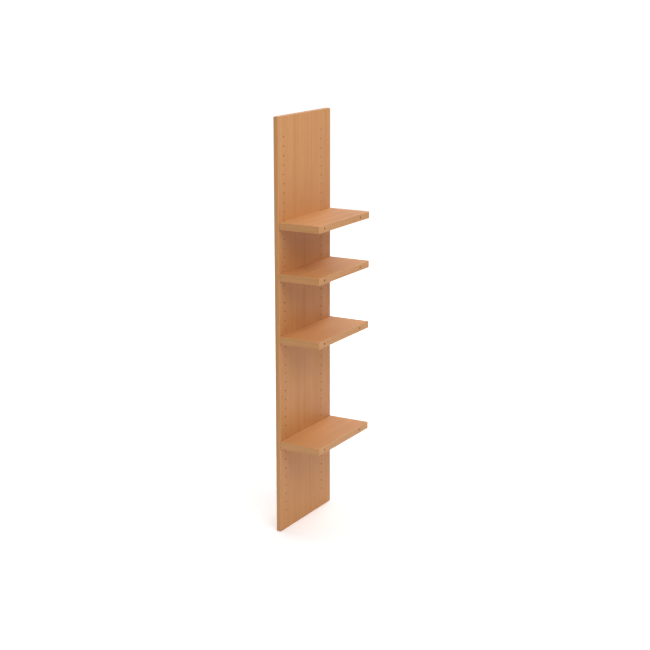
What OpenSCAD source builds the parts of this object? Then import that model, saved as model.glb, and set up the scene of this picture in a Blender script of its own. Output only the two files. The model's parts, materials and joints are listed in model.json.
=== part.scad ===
// Add-on shelving section: one upright board that carries four short shelves on cam fittings.
// The free ends of the shelves are bored for the connecting bolts of a neighbouring upright.
//
// Millimetres, +Z up. The origin is on the floor, under the middle of the whole section.
// The front faces -Y. The upright stands at the -X side and the shelves reach out to +X.

/* [Upright] */
// Thickness of the upright board
upright_t = 18; // [16:1:22]
// Number of rows of fitting holes up the board, which sets its height
hole_rows = 43; // [43:1:60]
// Distance from each end of the board to its nearest row
end_margin = 71; // [40:1:90]

/* [Shelves] */
// Depth of the upright and of the shelves, front to rear
depth = 360; // [330:1:480]
// Reach of a shelf, from the upright to its free end
shelf_reach = 160; // [120:1:600]
// Thickness of a shelf
shelf_t = 25; // [22:1:30]
// Row of the bottom shelf, counted up from the lowest row of holes
bottom_shelf_row = 8; // [1:1:12]
// Row of the lower middle shelf
lower_shelf_row = 20; // [14:1:22]
// Row of the upper middle shelf
upper_shelf_row = 27; // [24:1:29]
// Row of the top shelf, which may stand between two rows on bolt holes of its own
top_shelf_row = 32.6; // [31:0.2:41]

/* [Edging] */
// Thickness of the edging glued around every board
edging_t = 2; // [1.5:0.1:3]
// Radius of the eased long edges
ease_r = 1.2; // [0.5:0.1:1.4]
// Radius of the eased corners, seen square to the board
corner_r = 1.8; // [0.5:0.1:2]

/* [Fitting holes] */
// Distance from the front edge to the front column of holes
column_inset = 37; // [30:1:45]
// Distance between the two columns of holes
column_gap = 256; // [192:32:256]
// Depth of a fitting hole
hole_depth = 13; // [12:0.5:14]

/* [Cam fittings] */
// Distance from the end of a shelf to the axis of its cams
cam_inset = 24; // [24:1:34]
// Angle a cam turns through between open and locked
cam_travel = 190; // [150:5:200]

/* [Hidden] */
$fn = 48;

// Hole spacing of the fitting system, and the holes that its bolts and cams take
row_pitch = 32;
hole_r = 2.5;
wall_bore_r = 4.25;
free_bore_r = 4;
pocket_r = 7.5;
pocket_depth = shelf_t / 2 + 5;

// Cam: a running fit in its pocket, hollow inside, with a slot that swings round the bolt
cam_r = pocket_r - 0.05;
cam_h = pocket_depth - 0.1;
cavity_r = 4.7;
cavity_h = 7.8;
entry_r = 3.75;
slot_h = 5.8;
// Angles that the slot runs on past the bolt, for its neck and for the way in of its head
neck_angle = 36;
entry_angle = 56;

// Driver recess and direction mark in the face of a cam
recess_l = 6.6;
recess_w = 1.3;
recess_depth = 3.2;
mark_depth = 0.5;

// Connecting bolt, measured from the face of the upright
thread_r = 2.45;
thread_root_r = 2;
thread_l = 11;
thread_pitch = 2;
collar_r = 4.1;
collar_l = 3;
neck_r = 2.5;
head_r = 3.5;
head_l = 2.4;

// Overall sizes, and the places that the modules share
eps = 1;
upright_h = 2 * end_margin + (hole_rows - 1) * row_pitch;
total_w = upright_t + shelf_reach;
face_x = upright_t - total_w / 2;
front_y = -depth / 2;
column_y = [column_inset, column_inset + column_gap];
cam_x = [cam_inset, shelf_reach - cam_inset];

shelf_names = ["bottom", "lower", "upper", "top"];
shelf_rows = [bottom_shelf_row, lower_shelf_row, upper_shelf_row, top_shelf_row];
shelf_ends = ["wall", "free"];
shelf_sides = ["front", "rear"];
shelf_pieces = ["core", "front_edging", "rear_edging", "wall_edging", "free_edging", "bolts"];

function row_z(row) = end_margin + row * row_pitch;
function shelf_node(i, piece) = str(shelf_names[i], "_shelf_", piece);
function cam_node(i, e, s) = shelf_node(i, str("cam_", shelf_ends[e], "_", shelf_sides[s]));

board_colour = "#d3995f";
edging_colour = "#c98f56";
cam_colour = "#a9abae";
bolt_colour = "#b9bbbd";

// Rectangle with rounded corners
module round_rect(l, w, r) {
    translate([r, 0]) square([l - 2 * r, w]);
    translate([0, r]) square([l, w - 2 * r]);
    for (x = [r, l - r]) for (y = [r, w - r]) translate([x, y]) circle(r);
}

// Outside shape of a finished board lying flat, l along X and w along Y
module eased_board(l, w, t) {
    intersection() {
        linear_extrude(t) round_rect(l, w, corner_r);
        translate([0, w, 0]) rotate([90, 0, 0]) linear_extrude(w) round_rect(l, t, ease_r);
        rotate([90, 0, 90]) linear_extrude(l) round_rect(w, t, ease_r);
    }
}

// Core of a board: everything inside its edging
module core(l, w, t) {
    translate([edging_t, edging_t, 0]) cube([l - 2 * edging_t, w - 2 * edging_t, t]);
}

// Edging along one long side, over the ends of the two short ones
module side_edging(l, w, t, y) {
    intersection() {
        eased_board(l, w, t);
        translate([-eps, y, -eps]) cube([l + 2 * eps, edging_t, t + 2 * eps]);
    }
}

// Edging across one end, between the two long ones
module end_edging(l, w, t, x) {
    intersection() {
        eased_board(l, w, t);
        translate([x, edging_t, -eps]) cube([edging_t, w - 2 * edging_t, t + 2 * eps]);
    }
}

// Stands a flat board up as the upright, its underside becoming the face towards the shelves
module stand_up() {
    translate([face_x, front_y, 0]) rotate([0, -90, 0]) children();
}

// Puts a flat board in the place of shelf i
module shelf_place(i) {
    translate([face_x, front_y, row_z(shelf_rows[i]) - shelf_t / 2]) children();
}

// One fitting hole in the upright, drilled from the shelf side
module fitting_hole(z, y) {
    translate([face_x - hole_depth, front_y + y, z]) rotate([0, 90, 0])
        cylinder(r = hole_r, h = hole_depth + eps);
}

module upright_core() {
    color(board_colour) difference() {
        stand_up() core(upright_h, depth, upright_t);
        for (y = column_y) for (row = [0:hole_rows - 1]) fitting_hole(row_z(row), y);
        for (y = column_y) if (top_shelf_row != floor(top_shelf_row))
            fitting_hole(row_z(top_shelf_row), y);
    }
}

module upright_side_edging(y) {
    color(edging_colour) stand_up() side_edging(upright_h, depth, upright_t, y);
}

module upright_end_edging(x) {
    color(edging_colour) stand_up() end_edging(upright_h, depth, upright_t, x);
}

// Bore for a connecting bolt, running in +X at half the thickness of a shelf
module bore(x, y, r) {
    translate([x, y, shelf_t / 2]) rotate([0, 90, 0]) cylinder(r = r, h = cam_inset + eps);
}

// Everything drilled in a shelf: bolt bores in both ends and cam pockets in the underside
module shelf_drilling() {
    for (y = column_y) {
        bore(-eps, y, wall_bore_r);
        bore(shelf_reach - cam_inset, y, free_bore_r);
        for (x = cam_x) translate([x, y, -eps]) cylinder(r = pocket_r, h = pocket_depth + eps);
    }
}

module shelf_core(i) {
    color(board_colour) shelf_place(i) difference() {
        core(shelf_reach, depth, shelf_t);
        shelf_drilling();
    }
}

module shelf_side_edging(i, y) {
    color(edging_colour) shelf_place(i) side_edging(shelf_reach, depth, shelf_t, y);
}

module shelf_end_edging(i, x) {
    color(edging_colour) shelf_place(i) difference() {
        end_edging(shelf_reach, depth, shelf_t, x);
        shelf_drilling();
    }
}

// Outline of a connecting bolt: radius outwards, length upwards from the face of the upright
function thread_points() = [
    for (u = [-thread_l + 1:thread_pitch:-thread_pitch])
        for (p = [[thread_root_r, 0], [thread_r, 0.7], [thread_r, 1], [thread_root_r, 1.7]])
            [p[0], u + p[1]]
];

module bolt() {
    head_end = cam_inset + head_l / 2 + 0.4;
    difference() {
        rotate_extrude() polygon(concat(
            [[0, -thread_l], [thread_root_r - 0.6, -thread_l], [thread_root_r, -thread_l + 0.8]],
            thread_points(),
            [[thread_root_r, 0], [collar_r, 0], [collar_r, collar_l], [neck_r, collar_l],
             [neck_r, head_end - head_l - 1], [head_r, head_end - head_l],
             [head_r, head_end - 0.8], [head_r - 0.8, head_end], [0, head_end]]
        ));
        for (a = [0, 90]) rotate([0, 0, a]) translate([-2, -0.5, head_end - 2]) cube([4, 1, 2 + eps]);
    }
}

module shelf_bolts(i) {
    color(bolt_colour) shelf_place(i) for (y = column_y)
        translate([0, y, shelf_t / 2]) rotate([0, 90, 0]) bolt();
}

// Cam with its way in facing the direction open_dir
module cam(open_dir) {
    slot_angle = cam_travel + neck_angle + entry_angle;
    rotate([0, 0, open_dir]) difference() {
        cylinder(r = cam_r, h = cam_h);
        translate([0, 0, (shelf_t - cavity_h) / 2]) cylinder(r = cavity_r, h = cavity_h);
        translate([0, 0, (shelf_t - slot_h) / 2]) rotate([0, 0, entry_angle - slot_angle])
            rotate_extrude(angle = slot_angle)
                translate([cavity_r - eps, 0]) square([cam_r, slot_h]);
        translate([0, 0, shelf_t / 2]) rotate([0, 90, 0]) cylinder(r = entry_r, h = cam_r + eps);
        for (a = [45, 135]) rotate([0, 0, a])
            translate([-recess_l / 2, -recess_w / 2, -eps])
                cube([recess_l, recess_w, recess_depth + eps]);
        translate([0, 0, -eps]) linear_extrude(mark_depth + eps)
            polygon([[cam_r - 0.8, 0], [cam_r - 2.8, 1.4], [cam_r - 2.8, -1.4]]);
    }
}

// The cams at the wall end are locked on their bolts. Those at the free end stand open.
module shelf_cam(i, e, s) {
    open_dir = e == 0 ? 180 + cam_travel : 0;
    color(cam_colour) shelf_place(i) translate([cam_x[e], column_y[s], 0]) cam(open_dir);
}

upright_core();
upright_side_edging(0);  // upright_front_edging
upright_side_edging(depth - edging_t);  // upright_rear_edging
upright_end_edging(upright_h - edging_t);  // upright_top_edging
upright_end_edging(0);  // upright_bottom_edging

for (i = [0:3]) {
    shelf_core(i);
    shelf_side_edging(i, 0);
    shelf_side_edging(i, depth - edging_t);
    shelf_end_edging(i, 0);
    shelf_end_edging(i, shelf_reach - edging_t);
    shelf_bolts(i);
    for (e = [0:1]) for (s = [0:1])
        shelf_cam(i, e, s);
}
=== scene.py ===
import json
import math

import bpy
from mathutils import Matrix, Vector


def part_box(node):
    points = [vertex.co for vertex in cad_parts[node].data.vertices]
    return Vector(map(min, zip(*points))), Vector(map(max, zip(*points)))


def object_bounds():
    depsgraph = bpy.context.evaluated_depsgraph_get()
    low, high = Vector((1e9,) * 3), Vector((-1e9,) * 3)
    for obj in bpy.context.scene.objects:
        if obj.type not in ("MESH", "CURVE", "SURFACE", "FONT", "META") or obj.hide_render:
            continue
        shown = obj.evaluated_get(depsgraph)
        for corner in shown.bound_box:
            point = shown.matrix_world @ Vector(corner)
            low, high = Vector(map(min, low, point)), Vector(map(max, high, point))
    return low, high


# Visual model of an add-on shelving section: one beech-faced upright and four short shelves.
# Every shape is the CAD model's own. This script adds the materials, the broken arrises, the
# light and the camera. Noise and cell scales are in cycles a metre.

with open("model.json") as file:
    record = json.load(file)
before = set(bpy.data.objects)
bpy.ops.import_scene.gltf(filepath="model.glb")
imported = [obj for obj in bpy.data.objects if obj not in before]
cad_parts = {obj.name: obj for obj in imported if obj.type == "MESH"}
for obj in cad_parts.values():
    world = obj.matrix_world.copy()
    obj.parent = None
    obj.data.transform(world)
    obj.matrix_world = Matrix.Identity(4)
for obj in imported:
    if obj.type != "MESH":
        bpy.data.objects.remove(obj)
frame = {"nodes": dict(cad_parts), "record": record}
cad_low, cad_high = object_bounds()
nodes = frame["nodes"]

MM = 0.001
X, Y, Z = 0, 1, 2
SHELVES = ("bottom", "lower", "upper", "top")

# Base colours, linear
BEECH = (0.624, 0.287, 0.099)
EDGING = (0.610, 0.298, 0.113)
# Chipboard of the drilled walls, darker than bare chipboard: painted shade inside the holes
CHIPBOARD_IN_SHADE = (0.27, 0.16, 0.085)
ZINC = (0.60, 0.61, 0.62)
PLATING = (0.70, 0.71, 0.72)

# Refractive index of the melamine. The shelf tops are the shinier ones.
UPRIGHT_GLOSS = 1.44
SHELF_GLOSS = 1.62

# Layers of the printed beech figure, from broad bands to fine threads: scale along and across
# the grain, noise detail and roughness, and weight in the tone
FIGURE = (
    (0.45, 17.0, 1.0, 0.5, 0.45),
    (1.1, 62.0, 2.0, 0.5, 1.25),
    (2.5, 190.0, 3.0, 0.6, 1.3),
    (16.0, 900.0, 2.0, 0.6, 0.8),
)
# How far the figure wanders sideways, and the scale of that along and across the grain
WANDER = 9 * MM
WANDER_SCALES = (2.2, 5.0)
# Flecks of two sizes: scale along and across the grain, radius in its cell, and the random value
# above which a cell starts to show its fleck
FLECKS = ((210.0, 1150.0, 0.36, 0.42), (120.0, 760.0, 0.26, 0.72))
# Radius of a fleck's darkest part, and how much more of the random value shows it in full
FLECK_HEART = 0.14
FLECK_ONSET = 0.3

# Where each piece is cut from the endless figure. Every shelf adds SHELF_CUT once more, and its
# edging STRIP_CUT as well.
UPRIGHT_CUT = (3.1, 0.4, 7.7)
SHELF_CUT = Vector((31.7, 12.9, 5.3))
STRIP_CUT = Vector((2.0, 3.0, 4.0))

# Pitch of the rows of fitting holes
ROW_PITCH = 32 * MM
# Thickness of the edging
edging_low, edging_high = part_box("upright_front_edging")
EDGING_T = edging_high.y - edging_low.y
# Dark seam between a board and its edging: half its width, and how far it fades out beyond
SEAM_HALF = 0.05 * MM
SEAM_FADE = 0.15 * MM
# Thickness of the melamine, below which a drilled wall turns into chipboard within MELAMINE_FADE
MELAMINE_T = 0.2 * MM
MELAMINE_FADE = 0.15 * MM
# Plain rim of a drilled hole, how far the chips in the melamine reach past it, and how softly
# they end
CHIP_RIM = 0.12 * MM
CHIP_REACH = 0.55 * MM
CHIP_SOFTNESS = 0.04 * MM
# Rubbed band along an arris of the edging, also painted paler as a highlight: its width in full, and
# where it ends
RUB_HIGHLIGHT_FULL = 0.4 * MM
RUB_HIGHLIGHT_END = 1.7 * MM
# Bright rim of a cam: how far inside the cam's radius it starts, and is at its full
RIM_START = 0.9 * MM
RIM_FULL = 0.1 * MM
# Play of a cam in its pocket
CAM_PLAY = 0.05 * MM

# Depths of the fine relief
BOARD_RELIEF = 0.02 * MM
CAM_RELIEF = 0.05 * MM
BOLT_RELIEF = 0.03 * MM

# Widths of the broken arrises, and the least angle between two faces, in degrees, that has one
CAM_ARRIS = 0.12 * MM
BOARD_ARRIS = 0.15 * MM
ARRIS_ANGLE = 40
# Before the arrises are broken, vertices this close are joined, and so are neighbouring faces
# that turn by less than this angle, in degrees
JOIN_DISTANCE = 0.002 * MM
FLAT_ANGLE = 0.5


class Graph:
    """A material's node tree, with short calls that add a node and return its output."""

    def __init__(self, name):
        self.material = bpy.data.materials.new(name)
        self.material.use_nodes = True
        self.tree = self.material.node_tree
        self.shader = self.tree.nodes["Principled BSDF"]
        self.place = self.node("TexCoord").outputs["Object"]
        self.x, self.y, self.z = self.node("SeparateXYZ", {"Vector": self.place}).outputs

    def node(self, kind, inputs=None, **settings):
        """Adds a node of that kind, with its settings, and its inputs fed by name."""
        made = self.tree.nodes.new("ShaderNode" + kind)
        for name, value in settings.items():
            setattr(made, name, value)
        for name, value in (inputs or {}).items():
            self.feed(made.inputs[name], value)
        return made

    def feed(self, socket, value):
        """Links value to the socket when it is another node's output, and else sets it."""
        if isinstance(value, bpy.types.NodeSocket):
            self.tree.links.new(value, socket)
        else:
            socket.default_value = value

    def math(self, operation, *values, clamp=False):
        made = self.node("Math", operation=operation, use_clamp=clamp)
        for socket, value in zip(made.inputs, values):
            self.feed(socket, value)
        return made.outputs[0]

    def total(self, *values):
        result = values[0]
        for value in values[1:]:
            result = self.math("ADD", result, value)
        return result

    def step(self, value, start, end, low=0.0, high=1.0):
        """low up to start, high from end, and a smooth change between them."""
        inputs = {"Value": value, "From Min": start, "From Max": end, "To Min": low, "To Max": high}
        return self.node("MapRange", inputs, interpolation_type="SMOOTHSTEP").outputs[0]

    def stretched(self, scale, shift=(0.0, 0.0, 0.0), vector=None):
        """Coordinates multiplied by scale, one number for each axis, then shifted."""
        moved = self.node("VectorMath", operation="MULTIPLY_ADD")
        self.feed(moved.inputs[0], self.place if vector is None else vector)
        moved.inputs[1].default_value = scale
        moved.inputs[2].default_value = shift
        return moved.outputs[0]

    def noise(self, vector, detail=2.0, roughness=0.5):
        inputs = {"Vector": vector, "Scale": 1.0, "Detail": detail, "Roughness": roughness}
        return self.node("TexNoise", inputs).outputs["Fac"]

    def even_noise(self, scale, shift=(0.0, 0.0, 0.0), detail=2.0, roughness=0.5):
        """Noise of one scale along all three axes."""
        return self.noise(self.stretched((scale, scale, scale), shift), detail, roughness)

    def cells(self, vector, scale=1.0):
        """Distance to the nearest cell point, and that cell's own random value."""
        made = self.node("TexVoronoi", {"Vector": vector, "Scale": scale})
        own = self.node("SeparateColor", {"Color": made.outputs["Color"]}).outputs[0]
        return made.outputs["Distance"], own

    def mix(self, factor, first, second):
        made = self.node("Mix", data_type="RGBA")
        self.feed(made.inputs["Factor"], factor)
        for socket, colour in ((made.inputs[6], first), (made.inputs[7], second)):
            self.feed(socket, colour + (1.0,) if isinstance(colour, tuple) else colour)
        return made.outputs[2]

    def finished(self, colour, roughness, height, depth, strength):
        """Feeds the shader, with a relief of that height and depth, and returns the material."""
        bump = self.node("Bump", {"Height": height, "Distance": depth, "Strength": strength})
        self.feed(self.shader.inputs["Base Color"], colour)
        self.feed(self.shader.inputs["Roughness"], roughness)
        self.feed(self.shader.inputs["Normal"], bump.outputs["Normal"])
        return self.material


def tint(colour, *factors):
    """colour with each channel multiplied by its own factor."""
    return tuple(channel * factor for channel, factor in zip(colour, factors))


def joined_box(names):
    """Lowest and highest corner of several CAD nodes together."""
    boxes = [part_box(name) for name in names]
    low = Vector(min(box[0][axis] for box in boxes) for axis in range(3))
    high = Vector(max(box[1][axis] for box in boxes) for axis in range(3))
    return low, high


def side_distances(graph, low, high):
    """For each axis, how far a point is inside the nearer of the two sides of a box."""
    found = []
    for value, start, end in zip((graph.x, graph.y, graph.z), low, high):
        from_middle = graph.math("ABSOLUTE", graph.math("SUBTRACT", value, (start + end) / 2))
        found.append(graph.math("SUBTRACT", (end - start) / 2, from_middle))
    return found


def arris_distance(graph, distances):
    """Distance to the nearest edge of a box, for a point on its surface: the middle one of three."""
    first, second, third = distances
    lesser = graph.math("MINIMUM", first, second)
    greater = graph.math("MAXIMUM", first, second)
    return graph.math("MAXIMUM", lesser, graph.math("MINIMUM", greater, third))


def pair_offset(graph, value, first, second):
    """How far value is from the nearer one of first and second."""
    from_middle = graph.math("ABSOLUTE", graph.math("SUBTRACT", value, (first + second) / 2))
    return graph.math("SUBTRACT", from_middle, abs(second - first) / 2)


def row_offset(graph, value, first, pitch, count):
    """How far value is from the nearest of count rows, evenly spaced from first."""
    past_first = graph.math("SUBTRACT", value, first)
    row = graph.math("ROUND", graph.math("DIVIDE", past_first, pitch))
    row = graph.math("MINIMUM", graph.math("MAXIMUM", row, 0.0), count - 1.0)
    return graph.math("SUBTRACT", past_first, graph.math("MULTIPLY", row, pitch))


def hypotenuse(graph, across, along):
    """Distance from an axis, for a point that far from it in each of two directions."""
    squares = [graph.math("MULTIPLY", side, side) for side in (across, along)]
    return graph.math("SQRT", graph.math("ADD", *squares))


def per_axis(grain, along, across):
    """along for the grain's axis and across for the two others."""
    return tuple(along if axis == grain else across for axis in range(3))


def wandering(graph, grain, shift):
    """The place of a point, moved a little sideways so that the figure isn't dead straight."""
    sideways = graph.node("VectorMath", operation="SCALE")
    sideways.inputs[0].default_value = per_axis(grain, 0.0, WANDER)
    wander = graph.noise(graph.stretched(per_axis(grain, *WANDER_SCALES), shift), detail=1.0)
    graph.feed(sideways.inputs["Scale"], wander)
    bent = graph.node("VectorMath", operation="ADD")
    graph.feed(bent.inputs[0], graph.place)
    graph.feed(bent.inputs[1], sideways.outputs[0])
    return bent.outputs[0]


def beech_pattern(graph, grain, shift):
    """The printed beech figure along the axis number grain: its tone, flecks and finest layer."""
    bent = wandering(graph, grain, shift)
    tone = 0.5
    for along, across, detail, roughness, weight in FIGURE:
        place = graph.stretched(per_axis(grain, along, across), shift, bent)
        layer = graph.noise(place, detail, roughness)
        swing = graph.math("SUBTRACT", layer, 0.5)
        tone = graph.math("ADD", tone, graph.math("MULTIPLY", swing, weight))

    fleck = 0.0
    for along, across, radius, rarity in FLECKS:
        distance, own = graph.cells(graph.stretched(per_axis(grain, along, across), shift, bent))
        shape = graph.step(distance, FLECK_HEART, radius, 1.0, 0.0)
        dash = graph.math("MULTIPLY", shape, graph.step(own, rarity, rarity + FLECK_ONSET))
        fleck = graph.math("MAXIMUM", fleck, dash)
    return tone, fleck, layer


def beech_colour(graph, base, tone, fleck):
    """base, darker and redder in the dark tones, with small brown flecks."""
    dark = tint(base, 0.88, 0.84, 0.78)
    light = tint(base, 1.07, 1.09, 1.12)
    brown = tint(base, 0.66, 0.55, 0.45)
    lightness = graph.math("ADD", tone, 0.0, clamp=True)
    wood = graph.mix(lightness, dark, light)
    return graph.mix(graph.math("MULTIPLY", fleck, 0.55), wood, brown)


def chipped_rims(graph, away, radius, shift):
    """Small ragged chips in the melamine round drilled holes, for a point that far from an axis."""
    ragged = graph.even_noise(1500.0, shift, detail=2.0, roughness=0.7)
    reach = graph.math("MULTIPLY", graph.step(ragged, 0.42, 0.68), CHIP_REACH)
    beyond = graph.math("SUBTRACT", graph.math("SUBTRACT", away, radius + CHIP_RIM), reach)
    return graph.step(beyond, -CHIP_SOFTNESS, CHIP_SOFTNESS, 1.0, 0.0)


def drilled_chipboard_in_shade(graph, shift):
    """Colour and grit of the pressed chips that a drilled wall shows, painted darker than bare
    chipboard as shade inside the holes.
    """
    _, grit = graph.cells(graph.stretched((1.0, 1.0, 1.0), shift), 900.0)
    dust = graph.even_noise(420.0, shift, detail=3.0)
    dark = tint(CHIPBOARD_IN_SHADE, 0.62, 0.58, 0.5)
    light = tint(CHIPBOARD_IN_SHADE, 1.25, 1.2, 1.1)
    dusty = tint(CHIPBOARD_IN_SHADE, 0.8, 0.74, 0.66)
    return graph.mix(graph.step(dust, 0.45, 0.62), graph.mix(grit, dark, light), dusty), grit


def board_material(name, board, grain, thin, shift, holes, gloss):
    """Beech-patterned melamine on both faces, and chipboard, painted darker as shade, where a
    drilled wall cuts below them.
    holes gives, for the graph, the distance to the nearest drilled axis, the holes' radius, and
    1 on the drilled side. gloss is the refractive index."""
    graph = Graph(name)
    away, radius, drilled_side = holes(graph)
    tone, fleck, threads = beech_pattern(graph, grain, shift)
    colour = beech_colour(graph, BEECH, tone, fleck)

    distances = side_distances(graph, *board)
    outline = [distances[axis] for axis in range(3) if axis != thin]
    from_seam = graph.math("SUBTRACT", graph.math("MINIMUM", *outline), EDGING_T)
    seam = graph.step(graph.math("ABSOLUTE", from_seam), SEAM_HALF, SEAM_HALF + SEAM_FADE, 0.45, 0.0)
    dark_glue = tint(BEECH, 0.5, 0.4, 0.33)
    colour = graph.mix(seam, colour, dark_glue)

    chips = graph.math("MULTIPLY", chipped_rims(graph, away, radius, shift), drilled_side)
    bare_chip = tint(BEECH, 0.98, 1.3, 1.9)
    colour = graph.mix(graph.math("MULTIPLY", chips, 0.7), colour, bare_chip)

    # The drilled walls get chipboard painted darker, as painted shade inside the holes
    chipboard, grit = drilled_chipboard_in_shade(graph, shift)
    inside = graph.step(distances[thin], MELAMINE_T, MELAMINE_T + MELAMINE_FADE)
    colour = graph.mix(inside, colour, chipboard)

    handled = graph.even_noise(9.0, shift, detail=3.0)
    sheen = graph.step(handled, 0.3, 0.7, 0.40, 0.47)
    sheen = graph.math("ADD", sheen, graph.math("MULTIPLY", threads, 0.05))
    roughness = graph.math("ADD", sheen, graph.math("MULTIPLY", inside, 0.42), clamp=True)

    relief = graph.total(
        graph.math("MULTIPLY", fleck, -1.0),
        graph.math("MULTIPLY", threads, 0.6),
        graph.math("MULTIPLY", chips, -3.0),
        graph.math("MULTIPLY", graph.math("MULTIPLY", grit, inside), 6.0),
    )
    graph.shader.inputs["IOR"].default_value = gloss
    return graph.finished(colour, roughness, relief, BOARD_RELIEF, strength=0.6)


def edging_material(name, board, grain, shift):
    """Beech-patterned plastic edging, a little paler than the board, and rubbed along the arrises,
    where the rubbed band is also painted paler as a highlight.
    """
    graph = Graph(name)
    tone, fleck, threads = beech_pattern(graph, grain, shift)
    colour = beech_colour(graph, EDGING, tone, graph.math("MULTIPLY", fleck, 0.7))

    arris = arris_distance(graph, side_distances(graph, *board))
    patches = graph.even_noise(55.0, shift, detail=4.0, roughness=0.6)
    # Paler band along the arrises: partly rubbed wear, partly a painted highlight where the rounded
    # arris catches the light
    near_arris = graph.step(arris, RUB_HIGHLIGHT_FULL, RUB_HIGHLIGHT_END, 1.0, 0.0)
    rub_and_highlight = graph.math("MULTIPLY", near_arris, graph.step(patches, 0.35, 0.65, 0.3, 0.85))
    rubbed_highlight = tint(EDGING, 1.22, 1.28, 1.42)
    colour = graph.mix(rub_and_highlight, colour, rubbed_highlight)

    scraped = graph.noise(graph.stretched(per_axis(grain, 6.0, 1500.0), shift), detail=2.0)
    roughness = graph.total(
        0.44,
        graph.math("MULTIPLY", scraped, 0.1),
        graph.math("MULTIPLY", rub_and_highlight, -0.06),
    )
    relief = graph.total(
        graph.math("MULTIPLY", scraped, 0.8),
        graph.math("MULTIPLY", fleck, -0.6),
        graph.math("MULTIPLY", threads, 0.4),
    )
    return graph.finished(colour, roughness, relief, BOARD_RELIEF, strength=0.5)


def cam_material(name, box):
    """Die-cast zinc: fine casting grain, dull patches, and a rim rubbed bright by its pocket."""
    low, high = box
    middle = (low + high) / 2
    cam_radius = (high.x - low.x) / 2
    graph = Graph(name)
    graph.shader.inputs["Metallic"].default_value = 1.0
    across = graph.math("SUBTRACT", graph.x, middle.x)
    along = graph.math("SUBTRACT", graph.y, middle.y)
    away = hypotenuse(graph, across, along)
    rim = graph.step(away, cam_radius - RIM_START, cam_radius - RIM_FULL)

    patches = graph.even_noise(260.0, detail=4.0, roughness=0.6)
    grain = graph.even_noise(2600.0)
    dull = tint(ZINC, 0.78, 0.79, 0.81)
    bright = tint(ZINC, 1.22, 1.22, 1.22)
    cast = graph.mix(graph.step(patches, 0.3, 0.72), dull, ZINC)
    colour = graph.mix(graph.math("MULTIPLY", rim, 0.5), cast, bright)
    roughness = graph.total(
        graph.step(patches, 0.3, 0.72, 0.47, 0.39),
        graph.math("MULTIPLY", grain, 0.12),
        graph.math("MULTIPLY", rim, -0.1),
    )
    return graph.finished(colour, roughness, grain, CAM_RELIEF, strength=0.5)


def bolt_material(name):
    """Bright zinc plating with fine turning marks round the shank and faint yellowish patches."""
    graph = Graph(name)
    graph.shader.inputs["Metallic"].default_value = 1.0
    patches = graph.even_noise(420.0, detail=3.0)
    turned = graph.noise(graph.stretched((6000.0, 300.0, 300.0)), detail=1.0)
    yellowish = tint(PLATING, 0.86, 0.85, 0.78)
    colour = graph.mix(graph.step(patches, 0.4, 0.65), yellowish, PLATING)
    roughness = graph.total(
        0.2,
        graph.math("MULTIPLY", patches, 0.14),
        graph.math("MULTIPLY", turned, 0.08),
    )
    return graph.finished(colour, roughness, turned, BOLT_RELIEF, strength=0.4)


def dress(name, material):
    """Gives a CAD node its material."""
    nodes[name].data.materials.clear()
    nodes[name].data.materials.append(material)


def ease_arrises(name, width):
    """Takes the sharpness off a node's edges, so that they catch the light."""
    stack = nodes[name].modifiers
    weld = stack.new("join", "WELD")
    weld.merge_threshold = JOIN_DISTANCE
    flat = stack.new("flat_faces", "DECIMATE")
    flat.decimate_type = "DISSOLVE"
    flat.angle_limit = math.radians(FLAT_ANGLE)
    bevel = stack.new("arrises", "BEVEL")
    bevel.width = width
    bevel.segments = 2
    bevel.limit_method = "ANGLE"
    bevel.angle_limit = math.radians(ARRIS_ANGLE)
    shading = stack.new("shading", "WEIGHTED_NORMAL")
    shading.keep_sharp = True


upright = joined_box([name for name in nodes if name.startswith("upright_")])

# The fitting holes: two columns of evenly spaced rows, placed by the record's lowest pattern
lowest_bay = next(mount for mount in frame["record"]["mounts"]
                  if mount["name"] == "fitting_holes_below_bottom_shelf")
column_gap = lowest_bay["dims"]["spacing_x_mm"] * MM
columns_y = [lowest_bay["pos_m"][Y] + side * column_gap / 2 for side in (-1, 1)]
lowest_row = lowest_bay["pos_m"][Z] - lowest_bay["dims"]["spacing_y_mm"] * MM / 2
row_count = 1 + round((upright[1].z - 2 * lowest_row) / ROW_PITCH)


def fitting_holes(graph):
    """The upright's drilled axes, for board_material."""
    from_row = row_offset(graph, graph.z, lowest_row, ROW_PITCH, row_count)
    away = hypotenuse(graph, pair_offset(graph, graph.y, *columns_y), from_row)
    drilled_side = graph.math("GREATER_THAN", graph.x, (upright[0].x + upright[1].x) / 2)
    return away, lowest_bay["dims"]["hole_r_mm"] * MM, drilled_side


def cam_pockets(shelf):
    """The drilled axes of a shelf's four cam pockets, for board_material."""
    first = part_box(f"{shelf}_shelf_cam_wall_front")
    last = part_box(f"{shelf}_shelf_cam_free_rear")
    start, end = (first[0] + first[1]) / 2, (last[0] + last[1]) / 2
    pocket_radius = (first[1].x - first[0].x) / 2 + CAM_PLAY

    def holes(graph):
        across = pair_offset(graph, graph.x, start.x, end.x)
        along = pair_offset(graph, graph.y, start.y, end.y)
        drilled_side = graph.math("LESS_THAN", graph.z, start.z)
        return hypotenuse(graph, across, along), pocket_radius, drilled_side

    return holes


def dress_upright():
    """Grain runs up the board, and along each strip of edging."""
    board = board_material(
        "beech_upright", upright, Z, X, UPRIGHT_CUT, fitting_holes, UPRIGHT_GLOSS)
    dress("upright_core", board)
    for side, grain, shift in (
        ("front", Z, (11.0, 2.0, 5.0)),
        ("rear", Z, (17.0, 9.0, 1.0)),
        ("top", Y, (23.0, 4.0, 8.0)),
        ("bottom", Y, (29.0, 6.0, 3.0)),
    ):
        strip = edging_material(f"edging_upright_{side}", upright, grain, shift)
        dress(f"upright_{side}_edging", strip)


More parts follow.
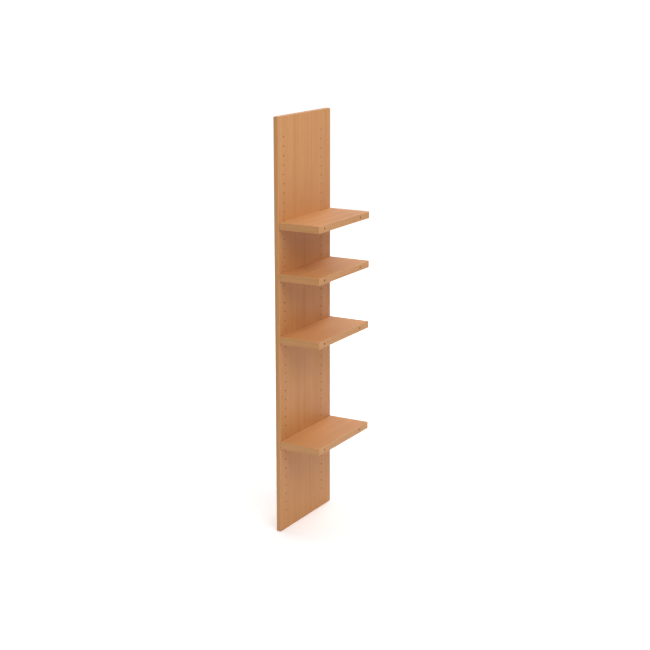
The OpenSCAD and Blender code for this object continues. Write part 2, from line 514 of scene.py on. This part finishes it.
def dress_shelf(shelf, shift, bolt_finish):
    """Grain runs from front to rear, and along each strip of edging."""
    strips = {"front": X, "rear": X, "wall": Y, "free": Y}
    pieces = ["core"] + [f"{side}_edging" for side in strips]
    box = joined_box([f"{shelf}_shelf_{piece}" for piece in pieces])
    board = board_material(f"beech_{shelf}", box, Y, Z, shift, cam_pockets(shelf), SHELF_GLOSS)
    dress(f"{shelf}_shelf_core", board)
    for side, grain in strips.items():
        strip = edging_material(f"edging_{shelf}_{side}", box, grain, shift + STRIP_CUT)
        dress(f"{shelf}_shelf_{side}_edging", strip)
    dress(f"{shelf}_shelf_bolts", bolt_finish)
    for end in ("wall", "free"):
        for side in ("front", "rear"):
            cam = f"{shelf}_shelf_cam_{end}_{side}"
            dress(cam, cam_material(f"zinc_{shelf}_{end}_{side}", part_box(cam)))


dress_upright()
zinc_plated = bolt_material("zinc_plated")
for number, shelf in enumerate(SHELVES, start=1):
    dress_shelf(shelf, SHELF_CUT * number, zinc_plated)

for name in nodes:
    if "_cam_" in name:
        ease_arrises(name, CAM_ARRIS)
    elif name.endswith(("_core", "_wall_edging", "_free_edging")):
        ease_arrises(name, BOARD_ARRIS)

# Half the floor's side, and how far it lies below the section
FLOOR_HALF = 120.0
FLOOR_GAP = 0.5 * MM
# The floor's glow makes up for the softboxes' fall-off, so that it stays as pale far away as near
GLOW_NEAR, GLOW_FAR = 0.22, 0.75
GLOW_START, GLOW_END = 0.4, 4.0


def floor_material():
    """Plain and pale, and clear from below so that the underside can be looked at."""
    graph = Graph("pale_floor")
    graph.shader.inputs["Base Color"].default_value = (0.92, 0.92, 0.92, 1.0)
    graph.shader.inputs["Roughness"].default_value = 0.9
    graph.shader.inputs["Specular IOR Level"].default_value = 0.0
    graph.shader.inputs["Emission Color"].default_value = (1.0, 1.0, 1.0, 1.0)
    away = graph.node("VectorMath", {"Vector": graph.place}, operation="LENGTH").outputs["Value"]
    glow = graph.step(away, GLOW_START, GLOW_END, GLOW_NEAR, GLOW_FAR)
    seen = graph.node("LightPath").outputs["Is Camera Ray"]
    graph.feed(graph.shader.inputs["Emission Strength"], graph.math("MULTIPLY", glow, seen))
    both = graph.node("MixShader")
    graph.feed(both.inputs[0], graph.node("NewGeometry").outputs["Backfacing"])
    graph.feed(both.inputs[1], graph.shader.outputs[0])
    graph.feed(both.inputs[2], graph.node("BsdfTransparent").outputs[0])
    graph.feed(graph.tree.nodes["Material Output"].inputs["Surface"], both.outputs[0])
    return graph.material


floor_mesh = bpy.data.meshes.new("floor")
corners = [(x * FLOOR_HALF, y * FLOOR_HALF, 0.0) for x, y in ((-1, -1), (1, -1), (1, 1), (-1, 1))]
floor_mesh.from_pydata(corners, [], [(0, 1, 2, 3)])
floor_mesh.materials.append(floor_material())
floor = bpy.data.objects.new("floor", floor_mesh)
floor.location.z = cad_low.z - FLOOR_GAP
bpy.context.scene.collection.objects.link(floor)

# Strength of the white surround as a light, and as the camera sees it
AMBIENT = 0.35
SURROUND = 1.05


def white_world():
    """An even white surround that lights less than it shows."""
    world = bpy.data.worlds.new("studio")
    world.use_nodes = True
    tree = world.node_tree
    lit = tree.nodes["Background"]
    shown = tree.nodes.new("ShaderNodeBackground")
    for background, strength in ((lit, AMBIENT), (shown, SURROUND)):
        background.inputs["Color"].default_value = (1.0, 1.0, 1.0, 1.0)
        background.inputs["Strength"].default_value = strength
    path = tree.nodes.new("ShaderNodeLightPath")
    pick = tree.nodes.new("ShaderNodeMixShader")
    tree.links.new(path.outputs["Is Camera Ray"], pick.inputs[0])
    tree.links.new(lit.outputs[0], pick.inputs[1])
    tree.links.new(shown.outputs[0], pick.inputs[2])
    tree.links.new(pick.outputs[0], tree.nodes["World Output"].inputs["Surface"])
    return world


bpy.context.scene.world = white_world()


def from_centre(azimuth, elevation):
    """Unit vector towards a viewpoint: azimuth 0 is the front, and 90 is the free ends' side."""
    turn, rise = math.radians(azimuth), math.radians(elevation)
    return Vector((
        math.sin(turn) * math.cos(rise),
        -math.cos(turn) * math.cos(rise),
        math.sin(rise),
    ))


# Softboxes: azimuth, elevation and power. A broad key from the front right, a bright rear wall,
# and fills that keep the other sides from going dull.
SOFTBOXES = {
    "key": (45, 45, 70),
    "right": (90, 45, 25),
    "rear_high": (180, 45, 53),
    "rear_low": (180, 15, 34),
    "left": (255, 45, 42),
}
SOFTBOX_SIDE = 2.5
SOFTBOX_DISTANCE = 4.0


def softbox(name, azimuth, elevation, power):
    """A large square area light that faces the middle of the section."""
    data = bpy.data.lights.new(name, "AREA")
    data.shape = "SQUARE"
    data.size = SOFTBOX_SIDE
    data.energy = power
    back = from_centre(azimuth, elevation)
    light = bpy.data.objects.new(name, data)
    light.location = (cad_low + cad_high) / 2 + back * SOFTBOX_DISTANCE
    light.rotation_mode = "QUATERNION"
    light.rotation_quaternion = (-back).to_track_quat("-Z", "Y")
    light.visible_camera = False
    bpy.context.scene.collection.objects.link(light)


for name, settings in SOFTBOXES.items():
    softbox(name, *settings)

# Camera: at the photograph's viewing angle. It looks at the section's axis at the aim height, and
# its yaw differs from its azimuth by the little that the photograph is off centre.
CAMERA_AZIMUTH = 29.61
CAMERA_ELEVATION = 14.07
CAMERA_DISTANCE = 5.123
CAMERA_YAW = 29.52
CAMERA_AIM_HEIGHT = 0.7365
camera_data = bpy.data.cameras.new("camera")
camera_data.lens = 79.75
camera_data.sensor_width = 36.0
camera_data.clip_start = 0.05
camera_data.clip_end = 500.0
camera = bpy.data.objects.new("camera", camera_data)
camera.location = from_centre(CAMERA_AZIMUTH, CAMERA_ELEVATION) * CAMERA_DISTANCE
camera.location.z += CAMERA_AIM_HEIGHT
camera.rotation_euler = (math.radians(90 - CAMERA_ELEVATION), 0.0, math.radians(CAMERA_YAW))
bpy.context.scene.collection.objects.link(camera)
bpy.context.scene.camera = camera
bpy.context.scene.view_settings.view_transform = "Standard"
